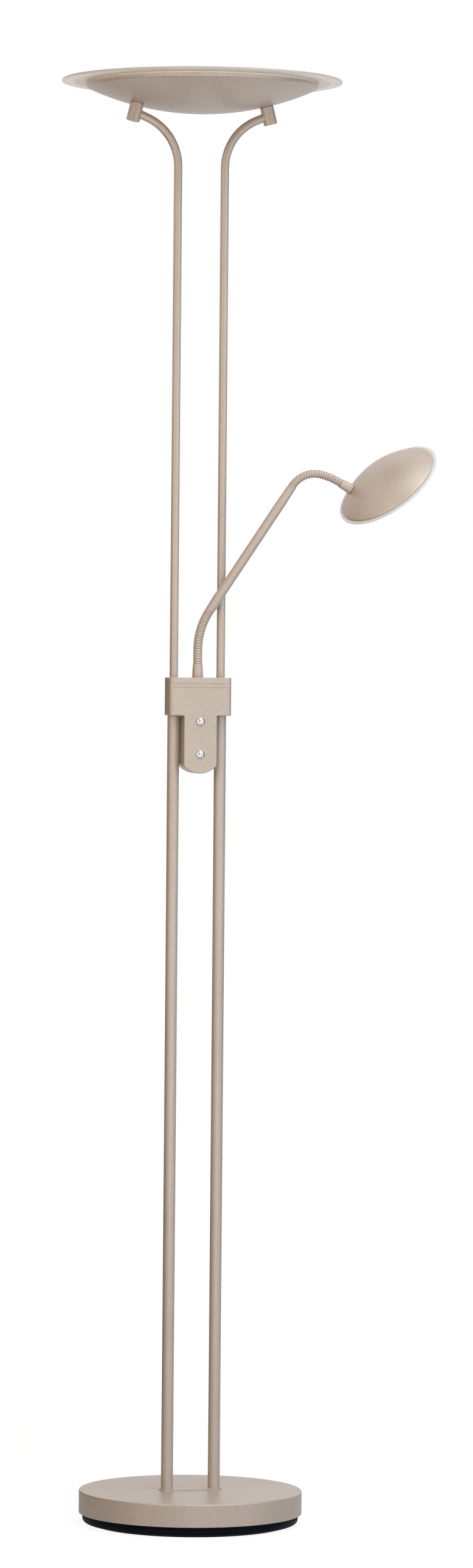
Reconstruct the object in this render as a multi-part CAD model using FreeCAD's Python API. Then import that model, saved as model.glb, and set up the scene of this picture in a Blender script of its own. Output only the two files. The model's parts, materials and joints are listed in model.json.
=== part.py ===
import FreeCAD, Part
import math
import os

# Floor lamp on two posts: a disc base, a dimmer housing at waist height with two push
# buttons, a gooseneck reading light and an uplight dish under a wide frosted glass.
# Millimetres. +X is the lamp's right, -Y its front, +Z up.
# The origin is the centre of the base, on the floor.

V = FreeCAD.Vector
up = V(0, 0, 1)
right = V(1, 0, 0)
rear = V(0, 1, 0)

# Whole lamp
lamp_height = 1800.0
base_height = 42.0
housing_top = 1055.0
fit = 0.05
hole_clearance = 0.15
seat_gap = 0.1
overrun = 2.0

# Base
pad_radius = 123.0
pad_thickness = 2.0
tray_radius = 134.5
tray_wall = 2.5
tray_edge_radius = 5.0
tray_groove_height = 1.2
tray_groove_depth = 0.8
tray_groove_below_cover = 3.0
tray_step_above_cover_hem = 0.8
cover_radius = 139.0
cover_height = 28.0
cover_wall = 1.5
cover_edge_radius = 1.8
cover_play = 0.3
weight_radius = 112.0
weight_thickness = 15.5
weight_boss_radius = 52.0
weight_pocket_radius = 12.0
weight_pocket_depth = 10.0
cable_channel_width = 12.0
cable_channel_height = 8.0
tray_screw_circle_radius = 88.0
tray_screw_count = 3
tray_screw_head_radius = 4.0
tray_screw_radius = 2.0
tray_screw_length = 12.0
grommet_height = 27.0
grommet_radius = 4.4
grommet_flange_radius = 6.5
grommet_flange = 1.5
grommet_bore_radius = 2.8

# Foot plate and the studs that clamp the posts to the base
foot_width = 20.0
foot_thickness = 1.5
stud_radius = 5.0
stud_bore_radius = 3.2
plug_length = 22.0
washer_radius = 10.0
washer_thickness = 1.6
nut_across_flats = 17.0
nut_thickness = 6.0
stud_tail = 1.5

# Posts
post_inset = 10.0
lower_post_radius = 7.5
lower_post_wall = 1.2
upper_post_radius = 5.25
upper_post_wall = 1.0
post_lap = 42.0
post_bend_radius = 65.0
post_bend_degrees = 67.0
grub_radius = 2.0
grub_below_top = 20.0

# Dimmer housing
housing_width = 80.0
housing_height = 47.5
housing_front = 21.0
housing_rear = 11.0
housing_wall = 2.0
housing_corner_radius = 6.0
housing_edge_radius = 1.2
back_thickness = 2.0
tongue_post_gap = 1.5
tongue_drop = 72.0
tongue_bottom_overhang = 6.0
tongue_corner_radius = 5.0
throat_radius = 1.2
groove_below_top = 7.1
groove_pitch = 4.5
groove_height = 1.4
groove_depth = 0.7
groove_count = 2
bridge_side_gap = 3.0
bridge_depth = 21.0
bridge_thickness = 2.5
boss_radius = 3.6
boss_post_gap = 4.9
boss_below_top = 24.0
low_boss_above_bottom = 8.6
case_screw_radius = 1.45
case_screw_length = 12.0
case_screw_head_radius = 2.8
case_screw_head_height = 1.7

# Buttons
upper_button_below_top = 55.0
button_pitch = 41.0
button_radius = 5.0
button_dome_rise = 2.6
button_collar = 0.5
button_flange_radius = 6.4
button_flange = 1.2
button_stem_radius = 1.6
button_stem_entry = 2.3
button_travel = 1.5
bezel_radius = 6.5
bezel_rim = 0.6
bezel_barrel_radius = 5.9
bezel_barrel_extra = 0.4
bezel_running_gap = 0.08

# Dimmer board
board_side_gap = 3.0
board_height = 57.0
board_thickness = 1.6
board_behind_front = 13.4
board_screw_inset = 3.2
standoff_radius = 2.3
board_screw_radius = 1.1
board_screw_length = 8.0
board_screw_head_radius = 2.2
board_screw_head_height = 1.4
switch_side_share = 0.375
switch_depth = 7.4
switch_bore_spare = 1.8
module_edge_gap = 3.5
module_height = 36.0
module_depth = 11.0

# Reading arm
arm_forward = 2.0
arm_turn_degrees = 28.0
ferrule_length = 17.0
ferrule_foot_radius = 6.9
ferrule_neck_radius = 6.0
arm_stud_radius = 4.0
arm_stud_tail = 1.5
arm_nut_across_flats = 13.0
arm_nut_thickness = 5.0
wire_bore_radius = 2.4
spigot_length = 12.0
hose_bore_radius = 3.0
lower_hose_radius = 5.8
lower_hose_straight = 18.0
lower_hose_bend_radius = 87.0
lower_hose_bend_degrees = 34.0
lower_spigot_radius = 4.5
sleeve_length = 25.0
sleeve_neck_radius = 5.7
sleeve_mouth_radius = 6.5
sleeve_spigot_length = 11.0
sleeve_spigot_radius = 4.2
rod_length = 163.0
rod_radius = 5.9
rod_tip_radius = 5.2
rod_taper_length = 26.0
upper_hose_radius = 5.1
neck_turn_degrees = 26.1
upper_hose_bend_radius = 31.6
upper_hose_bend_degrees = 71.1
upper_hose_second_radius = 81.0
upper_hose_second_degrees = 17.6
upper_hose_straight = 3.7
upper_spigot_radius = 3.9
head_ferrule_length = 16.0
head_ferrule_neck_radius = 5.6
head_ferrule_foot_radius = 6.5
rib_depth = 0.6
ribs_per_half = 11
rib_stations_share = (0.0, 0.28, 0.72, 1.0)
rib_heights_share = (0.0, 1.0, 1.0, 0.0)

# Reading head
shade_sphere_radius = 105.0
shade_rim_radius = 66.0
shade_wall = 1.2
shade_lip = 1.2
shade_entry = 44.0
head_turn_degrees = 26.1
head_stud_radius = 4.0
head_stud_tail = 0.8
head_nut_across_flats = 11.0
head_nut_thickness = 3.0
shade_ring_width = 2.4
reading_glass_radius = 70.0
reading_glass_thickness = 1.8
reading_glass_gap = 0.4
reading_glass_easing = 0.4
reading_plate_radius = 36.0
reading_plate_thickness = 1.5
reading_board_radius = 32.0
board_sheet = 1.2
led_side = 3.0
led_height = 0.8
led_rings = 3

# Uplight
dish_sphere_radius = 345.0
dish_rim_radius = 145.0
dish_wall = 1.2
dish_lip = 3.8
dish_ring_width = 3.0
uplight_glass_radius = 175.0
uplight_glass_thickness = 3.0
uplight_glass_gap = 2.0
uplight_glass_easing = 0.6
uplight_plate_radius = 112.0
uplight_plate_thickness = 1.5
uplight_board_radius = 95.0
driver_length = 84.0
driver_width = 44.0
driver_height = 12.0
support_spread = 53.0
support_radius = 8.5
support_length = 22.8
support_easing = 0.6
support_stud_radius = 4.0
support_stud_tail = 0.8
support_nut_across_flats = 11.0
support_nut_thickness = 4.0
support_screw_radius = 1.3
support_screw_head_radius = 1.8
support_screw_head_height = 1.2


def cylinder(radius, length, start=V(), heading=up):
    return Part.makeCylinder(radius, length, start, heading)


def box(low, high):
    return Part.makeBox(high.x - low.x, high.y - low.y, high.z - low.z, low)


def bored(radius, bore, length, start, heading):
    hole = cylinder(bore, length + overrun + overrun, start - heading * overrun, heading)
    return cylinder(radius, length, start, heading).cut(hole)


def line(first, last):
    return Part.LineSegment(first, last).toShape()


def turned(points):
    """Solid of revolution about Z; each point is a radius and a height."""
    corners = [V(radius, 0, height) for radius, height in points]
    face = Part.Face(Part.makePolygon(corners + corners[:1]))
    return face.revolve(V(), up, 360)


def turned_edges(edges):
    face = Part.Face(Part.Wire(edges))
    return face.revolve(V(), up, 360)


def eased_disc(radius, thickness, easing, low):
    """Round slab with both of its edges broken by a small bevel."""
    return turned([(0, low),
                   (radius - easing, low),
                   (radius, low + easing),
                   (radius, low + thickness - easing),
                   (radius - easing, low + thickness),
                   (0, low + thickness)])


def placed(shape, start, heading):
    moved = shape.copy()
    moved.Placement = FreeCAD.Placement(start, FreeCAD.Rotation(up, heading))
    return moved


def hex_nut(across_flats, thickness, bore, start, heading):
    corner = across_flats / math.sqrt(3)
    turns = [math.radians(60 * side) for side in range(7)]
    points = [V(corner * math.cos(turn), corner * math.sin(turn), 0) for turn in turns]
    nut = Part.Face(Part.makePolygon(points)).extrude(V(0, 0, thickness))
    return placed(nut, start, heading).cut(bored_hole(bore, thickness, start, heading))


def bored_hole(radius, length, start, heading):
    return cylinder(radius, length + overrun + overrun, start - heading * overrun, heading)


def both_sides(shape):
    mirrored = shape.mirror(V(), right)
    return Part.makeCompound([shape, mirrored])


def group(shapes):
    return Part.makeCompound(shapes)


def save(node, shape):
    if not shape.isValid():
        raise ValueError(node + " is not a valid shape")
    shape.exportStep("parts/" + node + ".step")
    print(node, len(shape.Solids), "solid(s)", round(shape.Volume / 1000, 2), "cm3")


class Path:
    """A run of straights and bends in one plane; side is the axis that the bends turn about."""

    def __init__(self, start, heading, side):
        self.end = start
        self.heading = heading
        self.side = side
        self.legs = []
        self.length = 0

    def straight(self, length):
        self.legs.append((self.length, length, self.end, self.heading, None))
        self.end = self.end + self.heading * length
        self.length += length

    def bend(self, radius, degrees):
        centre = self.end + self.side.cross(self.heading) * radius
        length = radius * math.radians(degrees)
        self.legs.append((self.length, length, self.end, self.heading, centre))
        turn = FreeCAD.Rotation(self.side, degrees)
        self.end = centre + turn.multVec(self.end - centre)
        self.heading = turn.multVec(self.heading)
        self.length += length

    def along(self, leg, distance):
        begin, length, start, heading, centre = leg
        travel = distance - begin
        if centre is None:
            return start + heading * travel, heading
        arm = start - centre
        turn = FreeCAD.Rotation(self.side, math.degrees(travel / arm.Length))
        return centre + turn.multVec(arm), turn.multVec(heading)

    def at(self, distance):
        for leg in self.legs:
            if distance <= leg[0] + leg[1]:
                return self.along(leg, distance)
        return self.along(self.legs[-1], distance)

    def solid(self, radius, first, last):
        """Round bar that follows the path from one distance to another."""
        bars = []
        for leg in self.legs:
            begin = max(first, leg[0])
            finish = min(last, leg[0] + leg[1])
            if finish - begin < seat_gap:
                continue
            point, heading = self.along(leg, begin)
            if leg[4] is None:
                bars.append(cylinder(radius, finish - begin, point, heading))
                continue
            sweep = math.degrees((finish - begin) / (point - leg[4]).Length)
            circle = Part.Face(self.ring(begin, radius))
            bars.append(circle.revolve(leg[4], self.side, sweep))
        return bars[0].multiFuse(bars[1:]) if len(bars) > 1 else bars[0]

    def ring(self, distance, radius, ahead=0):
        """Circle square to the path, or square to its tangent a little ahead."""
        point, heading = self.at(distance)
        circle = Part.Circle(point + heading * ahead, heading, radius)
        circle.XAxis = self.side
        return Part.Wire([circle.toShape()])


# Base

post_spacing = housing_width - 2 * post_inset
post_x = post_spacing / 2
tray_bottom = pad_thickness
tray_floor = tray_bottom + tray_wall
cover_hem = base_height - cover_height
cover_under = base_height - cover_wall
tray_top_radius = cover_radius - cover_wall - cover_play


def make_base_pad():
    return cylinder(pad_radius, pad_thickness)


def make_base_tray():
    groove_top = cover_hem - tray_groove_below_cover
    groove_low = groove_top - tray_groove_height
    step = cover_hem + tray_step_above_cover_hem
    edge_centre = V(tray_radius - tray_edge_radius, 0, tray_bottom + tray_edge_radius)
    edge_turn = math.radians(45)
    edge_mid = edge_centre + V(math.sin(edge_turn), 0, -math.cos(edge_turn)) * tray_edge_radius
    edge_start = V(tray_radius - tray_edge_radius, 0, tray_bottom)
    edge_end = V(tray_radius, 0, tray_bottom + tray_edge_radius)
    inner = tray_radius - tray_wall
    top_inner = tray_top_radius - tray_wall
    corners = [edge_end,
               V(tray_radius, 0, groove_low),
               V(tray_radius - tray_groove_depth, 0, groove_low),
               V(tray_radius - tray_groove_depth, 0, groove_top),
               V(tray_radius, 0, groove_top),
               V(tray_radius, 0, step),
               V(tray_top_radius, 0, step),
               V(tray_top_radius, 0, cover_under),
               V(top_inner, 0, cover_under),
               V(top_inner, 0, step + tray_wall),
               V(inner, 0, step + tray_wall),
               V(inner, 0, tray_floor),
               V(0, 0, tray_floor),
               V(0, 0, tray_bottom),
               edge_start]
    edges = [line(first, last) for first, last in zip(corners, corners[1:])]
    edges.append(Part.Arc(edge_start, edge_mid, edge_end).toShape())
    tray = turned_edges(edges)
    tray = tray.cut(cable_hole())
    for point in tray_screw_points():
        tray = tray.cut(countersunk_screw(point, hole_clearance))
    return tray


def make_base_cover():
    shoulder = cover_radius - cover_edge_radius
    arc_centre = V(shoulder, 0, base_height - cover_edge_radius)
    arc_turn = math.radians(45)
    arc_mid = arc_centre + V(math.sin(arc_turn), 0, math.cos(arc_turn)) * cover_edge_radius
    top_edge = V(shoulder, 0, base_height)
    side_edge = V(cover_radius, 0, base_height - cover_edge_radius)
    corners = [side_edge,
               V(cover_radius, 0, cover_hem),
               V(cover_radius - cover_wall, 0, cover_hem),
               V(cover_radius - cover_wall, 0, cover_under),
               V(0, 0, cover_under),
               V(0, 0, base_height),
               top_edge]
    edges = [line(first, last) for first, last in zip(corners, corners[1:])]
    edges.append(Part.Arc(top_edge, arc_mid, side_edge).toShape())
    cover = turned_edges(edges)
    return cover.cut(cable_hole()).cut(stud_holes(cover_under, base_height))


def stud_holes(low, high):
    hole = bored_hole(stud_radius + hole_clearance, high - low, V(post_x, 0, low), up)
    return both_sides(hole)


def cable_hole():
    length = cover_radius - weight_radius
    start = V(0, weight_radius, grommet_height)
    return cylinder(grommet_radius + fit, length + overrun, start, rear)


def tray_screw_points():
    step = 360 / tray_screw_count
    turns = [math.radians(step * count - 90) for count in range(tray_screw_count)]
    reach = tray_screw_circle_radius
    return [V(reach * math.cos(turn), reach * math.sin(turn), tray_bottom) for turn in turns]


def countersunk_screw(point, extra):
    head = tray_screw_head_radius + extra
    shank = tray_screw_radius + extra
    taper = head - shank
    length = tray_screw_length + extra
    screw = turned([(0, 0), (head, 0), (shank, taper), (shank, length), (0, length)])
    screw.translate(point)
    return screw


def make_tray_screws():
    return group([countersunk_screw(point, 0) for point in tray_screw_points()])


def make_base_weight():
    disc = cylinder(weight_radius, weight_thickness, V(0, 0, tray_floor))
    boss = cylinder(weight_boss_radius, cover_under - tray_floor, V(0, 0, tray_floor))
    weight = disc.fuse(boss)
    pocket_top = tray_floor + weight_pocket_depth
    pocket = cylinder(weight_pocket_radius, weight_pocket_depth, V(post_x, 0, tray_floor))
    half = cable_channel_width / 2
    channel = box(V(-post_x - half, 0, tray_floor),
                  V(-post_x + half, weight_radius + overrun, tray_floor + cable_channel_height))
    crossing = box(V(-post_x, -half, tray_floor), V(post_x, half, tray_floor + cable_channel_height))
    weight = weight.cut(both_sides(pocket)).cut(channel).cut(crossing)
    weight = weight.cut(stud_holes(pocket_top, cover_under))
    for point in tray_screw_points():
        weight = weight.cut(countersunk_screw(point, fit))
    return weight


def make_cable_grommet():
    inside = tray_top_radius - tray_wall
    lip_in = grommet_flange_radius ** 2 / (2 * inside) + seat_gap
    inner_face = inside - lip_in
    outer_face = cover_radius + seat_gap
    barrel = outer_face - inner_face
    flange = grommet_flange
    body = turned([(grommet_bore_radius, -flange),
                   (grommet_flange_radius, -flange),
                   (grommet_flange_radius, 0),
                   (grommet_radius, 0),
                   (grommet_radius, barrel),
                   (grommet_flange_radius, barrel),
                   (grommet_flange_radius, barrel + flange),
                   (grommet_bore_radius, barrel + flange)])
    return placed(body, V(0, inner_face, grommet_height), rear)


def make_foot_plate():
    half = foot_width / 2
    plate = box(V(-post_x, -half, base_height), V(post_x, half, base_height + foot_thickness))
    plate = plate.fuse(both_sides(cylinder(half, foot_thickness, V(post_x, 0, base_height))))
    plate = plate.removeSplitter()
    return plate.cut(stud_holes(base_height, base_height + foot_thickness))


post_foot = base_height + foot_thickness
pocket_top = tray_floor + weight_pocket_depth
nut_top = pocket_top - washer_thickness
stud_bottom = nut_top - nut_thickness - stud_tail


def make_post_studs():
    plug = lower_post_radius - lower_post_wall - fit
    stud = turned([(stud_bore_radius, stud_bottom),
                   (stud_radius, stud_bottom),
                   (stud_radius, post_foot),
                   (plug, post_foot),
                   (plug, post_foot + plug_length),
                   (stud_bore_radius, post_foot + plug_length)])
    stud.translate(V(post_x, 0, 0))
    return both_sides(stud)


def make_base_washers():
    washer = bored(washer_radius, stud_radius + hole_clearance, washer_thickness,
                   V(post_x, 0, nut_top), up)
    return both_sides(washer)


def make_base_nuts():
    start = V(post_x, 0, nut_top - nut_thickness)
    nut = hex_nut(nut_across_flats, nut_thickness, stud_radius + fit, start, up)
    return both_sides(nut)


# Posts

housing_bottom = housing_top - housing_height
housing_ceiling = housing_top - housing_wall
lap_bottom = housing_ceiling - post_lap
grub_z = housing_ceiling - grub_below_top

glass_under = lamp_height - uplight_glass_thickness
dish_lip_top = glass_under - uplight_glass_gap
dish_rim = dish_lip_top - dish_lip
dish_centre = dish_rim + math.sqrt(dish_sphere_radius ** 2 - dish_rim_radius ** 2)
support_reach = post_x + support_spread
support_lean = math.asin(support_reach / dish_sphere_radius)
support_axis = V(-math.sin(support_lean), 0, math.cos(support_lean))
support_top = V(0, 0, dish_centre) - support_axis * (dish_sphere_radius + seat_gap)
support_middle = support_top - support_axis * (support_length / 2)


def upper_post_path():
    bend = math.radians(post_bend_degrees)
    across = post_bend_radius * (1 - math.cos(bend))
    last = (support_middle.x - post_x - across) / math.sin(bend)
    rise = post_bend_radius * math.sin(bend) + last * math.cos(bend)
    path = Path(V(post_x, 0, lap_bottom), up, rear)
    path.straight(support_middle.z - rise - lap_bottom)
    path.bend(post_bend_radius, post_bend_degrees)
    path.straight(last)
    return path


def make_lower_post():
    length = housing_ceiling - post_foot
    start = V(post_x, 0, post_foot)
    post = bored(lower_post_radius, lower_post_radius - lower_post_wall, length, start, up)
    return post.cut(grub_hole())


def grub_hole():
    length = lower_post_radius
    return cylinder(grub_radius + fit, length + overrun, V(post_x, 0, grub_z), rear)


def make_upper_post():
    path = upper_post_path()
    outer = path.solid(upper_post_radius, 0, path.length)
    bore = path.solid(upper_post_radius - upper_post_wall, 0, path.length)
    return outer.cut(bore)


def make_post_reducers():
    outside = lower_post_radius - lower_post_wall - fit
    start = V(post_x, 0, lap_bottom)
    reducer = bored(outside, upper_post_radius + fit, post_lap, start, up)
    return both_sides(reducer.cut(grub_hole()))


def make_post_grub_screws():
    start = V(post_x, upper_post_radius + fit, grub_z)
    length = lower_post_radius - upper_post_radius + fit
    return both_sides(cylinder(grub_radius, length, start, rear))


# Dimmer housing

tongue_width = 2 * (post_x - lower_post_radius - tongue_post_gap)
tongue_bottom = housing_bottom - tongue_drop
tongue_bottom_radius = tongue_width / 2 + tongue_bottom_overhang
bridge_width = housing_width - 2 * (housing_wall + bridge_side_gap)
boss_reach = post_x - lower_post_radius - boss_post_gap - boss_radius
button_heights = (housing_top - upper_button_below_top,
                  housing_top - upper_button_below_top - button_pitch)
front_face = -housing_front
front_inside = front_face + housing_wall
back_split = housing_rear - back_thickness
board_width = tongue_width - 2 * (housing_wall + board_side_gap)
switch_side = board_width * switch_side_share
board_face = front_face + board_behind_front
board_back = board_face + board_thickness
board_low = sum(button_heights) / 2 - board_height / 2
low_boss_z = tongue_bottom + low_boss_above_bottom


def rounded_prism(inset, low, high):
    half = housing_width / 2 - inset
    prism = box(V(-half, front_face + inset, low), V(half, housing_rear - inset, high))
    upright = [edge for edge in prism.Edges if edge.BoundBox.ZLength > (high - low) / 2]
    return prism.makeFillet(housing_corner_radius - inset, upright)


def tongue_solid(inset, top):
    half = tongue_width / 2 - inset
    bottom_radius = tongue_bottom_radius - inset
    centre_z = tongue_bottom + tongue_bottom_radius
    depth = housing_front + housing_rear
    low = V(-half, front_face, tongue_bottom)
    block = box(low, V(half, housing_rear, centre_z))
    block = block.common(cylinder(bottom_radius, depth, V(0, front_face, centre_z), rear))
    corners = []
    for edge in block.Edges:
        limits = edge.BoundBox
        on_side = min(abs(limits.XMax - half), abs(limits.XMin + half)) < fit
        if on_side and limits.YLength > depth / 2 and limits.ZMax < centre_z - fit:
            corners.append(edge)
    block = block.makeFillet(tongue_corner_radius - inset, corners)
    upper = box(V(-half, front_face, centre_z), V(half, housing_rear, top))
    return block.fuse(upper)


def throat_fillets():
    """Concave corners where the tongue leaves the underside of the wide part."""
    side = tongue_width / 2
    low = V(side, front_face, housing_bottom - throat_radius)
    high = V(side + throat_radius, housing_rear, housing_bottom)
    corner = box(low, high)
    depth = housing_front + housing_rear
    rounding = V(side + throat_radius, front_face, housing_bottom - throat_radius)
    return both_sides(corner.cut(cylinder(throat_radius, depth, rounding, rear)))


def housing_block():
    wide = rounded_prism(0, housing_bottom, housing_top)
    block = wide.fuse([tongue_solid(0, housing_bottom), throat_fillets()]).removeSplitter()
    chosen = []
    for edge in block.Edges:
        limits = edge.BoundBox
        flat_front = limits.YMax < front_face + fit
        flat_top = limits.ZMin > housing_top - fit
        upright = limits.ZLength > housing_height - fit and limits.XLength < fit
        if (flat_front and not upright) or flat_top:
            chosen.append(edge)
    return block.makeFillet(housing_edge_radius, chosen)


def board_screw_points():
    across = board_width / 2 - board_screw_inset
    low = board_low + board_screw_inset
    high = board_low + board_height - board_screw_inset
    return [V(x, 0, z) for x in (-across, across) for z in (low, high)]


def case_screw_points():
    high = housing_top - boss_below_top
    return [V(-boss_reach, 0, high), V(boss_reach, 0, high), V(0, 0, low_boss_z)]


def at_depth(point, y):
    return V(point.x, y, point.z)


def make_housing_front():
    block = housing_block()
    depth = back_split - front_face
    wide_low = V(-housing_width, front_face - overrun, tongue_bottom - overrun)
    front_part = block.common(box(wide_low, V(housing_width, back_split, housing_top + overrun)))
    inside = rounded_prism(housing_wall, housing_bottom, housing_ceiling)
    inside = inside.fuse(tongue_solid(housing_wall, housing_bottom))
    low = V(-housing_width, front_inside, tongue_bottom)
    shell = front_part.cut(inside.common(box(low, V(housing_width, housing_rear, housing_top))))
    for point in case_screw_points():
        reach = back_split - front_inside
        shell = shell.fuse(cylinder(boss_radius, reach, at_depth(point, front_inside), rear))
        tip = back_split - case_screw_length + back_thickness
        shell = shell.cut(cylinder(case_screw_radius + fit, depth, at_depth(point, tip), rear))
    for point in board_screw_points():
        reach = board_face - front_inside
        shell = shell.fuse(cylinder(standoff_radius, reach, at_depth(point, front_inside), rear))
        tip = board_back - board_screw_length
        shell = shell.cut(cylinder(board_screw_radius + fit, depth, at_depth(point, tip), rear))
    for z in button_heights:
        start = V(0, front_face - overrun, z)
        shell = shell.cut(cylinder(bezel_barrel_radius + fit, housing_wall + overrun + overrun, start, rear))
    for count in range(groove_count):
        high = housing_top - groove_below_top - count * groove_pitch
        low = V(-housing_width, front_face - overrun, high - groove_height)
        shell = shell.cut(box(low, V(housing_width, front_face + groove_depth, high)))
    post_hole = bored_hole(upper_post_radius + hole_clearance, housing_wall,
                           V(post_x, 0, housing_ceiling), up)
    arm_hole = bored_hole(arm_stud_radius + hole_clearance, housing_wall,
                          V(0, -arm_forward, housing_ceiling), up)
    return shell.cut(both_sides(post_hole)).cut(arm_hole)


def make_housing_back():
    block = housing_block()
    low = V(-housing_width, back_split, tongue_bottom - overrun)
    plate = block.common(box(low, V(housing_width, housing_rear + overrun, housing_top + overrun)))
    for point in case_screw_points():
        start = at_depth(point, back_split - overrun)
        plate = plate.cut(cylinder(case_screw_radius + hole_clearance, back_thickness + overrun + overrun,
                                   start, rear))
    return plate


def pan_screw(point, tip, seat, radius, head_radius, head_height):
    shank = cylinder(radius, seat - tip, at_depth(point, tip), rear)
    head = cylinder(head_radius, head_height, at_depth(point, seat), rear)
    return shank.fuse(head)


def make_housing_screws():
    tip = housing_rear - case_screw_length + fit
    return group([pan_screw(point, tip, housing_rear, case_screw_radius,
                            case_screw_head_radius, case_screw_head_height)
                  for point in case_screw_points()])


def make_bridge_plate():
    half = bridge_width / 2
    low = V(-half, -bridge_depth / 2 - arm_forward, housing_ceiling - bridge_thickness)
    plate = box(low, V(half, bridge_depth / 2 - arm_forward, housing_ceiling))
    start = V(post_x, 0, housing_ceiling - bridge_thickness)
    plate = plate.cut(both_sides(bored_hole(lower_post_radius + fit, bridge_thickness, start, up)))
    start = V(0, -arm_forward, housing_ceiling - bridge_thickness)
    return plate.cut(bored_hole(arm_stud_radius + hole_clearance, bridge_thickness, start, up))


# Buttons

bezel_barrel = housing_wall + bezel_barrel_extra
button_stem_end = board_behind_front - switch_depth + button_stem_entry


def make_button(z):
    rise = button_dome_rise - button_collar
    sphere_radius = (button_radius ** 2 + rise ** 2) / (2 * rise)
    flange_front = bezel_barrel + seat_gap
    flange_back = flange_front + button_flange
    half_turn = math.asin(button_radius / sphere_radius) / 2
    centre = V(0, 0, -button_dome_rise + sphere_radius)
    mid = centre + V(math.sin(half_turn), 0, -math.cos(half_turn)) * sphere_radius
    crown = V(0, 0, -button_dome_rise)
    skirt = V(button_radius, 0, -button_collar)
    corners = [skirt,
               V(button_radius, 0, flange_front),
               V(button_flange_radius, 0, flange_front),
               V(button_flange_radius, 0, flange_back),
               V(button_stem_radius, 0, flange_back),
               V(button_stem_radius, 0, button_stem_end),
               V(0, 0, button_stem_end),
               crown]
    edges = [line(first, last) for first, last in zip(corners, corners[1:])]
    edges.append(Part.Arc(crown, mid, skirt).toShape())
    return placed(turned_edges(edges), V(0, front_face, z), rear)


def make_button_bezels():
    bore = button_radius + bezel_running_gap
    bezel = turned([(bore, -bezel_rim),
                    (bezel_radius - bezel_rim / 2, -bezel_rim),
                    (bezel_radius, -bezel_rim / 2),
                    (bezel_radius, 0),
                    (bezel_barrel_radius, 0),
                    (bezel_barrel_radius, bezel_barrel),
                    (bore, bezel_barrel)])
    return group([placed(bezel, V(0, front_face, z), rear) for z in button_heights])


# Dimmer board

def make_dimmer_board():
    half = board_width / 2
    board = box(V(-half, board_face, board_low), V(half, board_back, board_low + board_height))
    for point in board_screw_points():
        start = at_depth(point, board_face - overrun)
        length = board_thickness + overrun + overrun
        board = board.cut(cylinder(board_screw_radius + hole_clearance, length, start, rear))
    return board


def make_board_screws():
    return group([pan_screw(point, board_back - board_screw_length + fit, board_back, board_screw_radius,
                            board_screw_head_radius, board_screw_head_height)
                  for point in board_screw_points()])


def make_push_switches():
    half = switch_side / 2
    front_y = board_face - switch_depth
    bore_depth = button_stem_entry + button_travel + switch_bore_spare
    switches = []
    for z in button_heights:
        body = box(V(-half, front_y, z - half), V(half, board_face, z + half))
        bore = cylinder(button_stem_radius + bezel_running_gap, bore_depth + overrun,
                        V(0, front_y - overrun, z), rear)
        switches.append(body.cut(bore))
    return group(switches)


def make_dimmer_module():
    half = board_width / 2 - module_edge_gap
    middle = board_low + board_height / 2
    low = V(-half, board_back, middle - module_height / 2)
    return box(low, V(half, board_back + module_depth, middle + module_height / 2))


# Reading arm

arm_turn = math.radians(arm_turn_degrees)
arm_side = V(math.sin(arm_turn), math.cos(arm_turn), 0)
arm_root = V(0, -arm_forward, housing_top)

lower_path = Path(arm_root + up * ferrule_length, up, arm_side)
lower_path.straight(lower_hose_straight)
lower_path.bend(lower_hose_bend_radius, lower_hose_bend_degrees)
rod_axis = lower_path.heading
sleeve_end = lower_path.end + rod_axis * sleeve_length
rod_end = sleeve_end + rod_axis * rod_length
upper_side = FreeCAD.Rotation(rod_axis, neck_turn_degrees).multVec(arm_side)
upper_path = Path(rod_end, rod_axis, upper_side)
upper_path.bend(upper_hose_bend_radius, upper_hose_bend_degrees)
upper_path.bend(upper_hose_second_radius, upper_hose_second_degrees)
upper_path.straight(upper_hose_straight)
head_axis = upper_path.heading
shade_entry_point = upper_path.end + head_axis * head_ferrule_length

entry_degrees = math.degrees(math.asin(shade_entry / shade_sphere_radius))
tilt_axis = FreeCAD.Rotation(head_axis, head_turn_degrees).multVec(upper_side)
shade_axis = FreeCAD.Rotation(tilt_axis, entry_degrees).multVec(head_axis)
shade_centre = shade_entry_point + head_axis * shade_sphere_radius
shade_pole = shade_centre - shade_axis * shade_sphere_radius


def make_arm_base_ferrule():
    nut_low = housing_wall + bridge_thickness + arm_nut_thickness
    socket = ferrule_length - spigot_length
    body = turned([(wire_bore_radius, -nut_low - arm_stud_tail),
                   (arm_stud_radius, -nut_low - arm_stud_tail),
                   (arm_stud_radius, 0),
                   (ferrule_foot_radius, 0),
                   (ferrule_neck_radius, ferrule_length),
                   (lower_spigot_radius + fit, ferrule_length),
                   (lower_spigot_radius + fit, socket - fit),
                   (wire_bore_radius, socket - fit)])
    return placed(body, arm_root, up)


def make_ferrule_nut():
    start = arm_root - up * (housing_wall + bridge_thickness + arm_nut_thickness)
    return hex_nut(arm_nut_across_flats, arm_nut_thickness, arm_stud_radius + fit, start, up)


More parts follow.
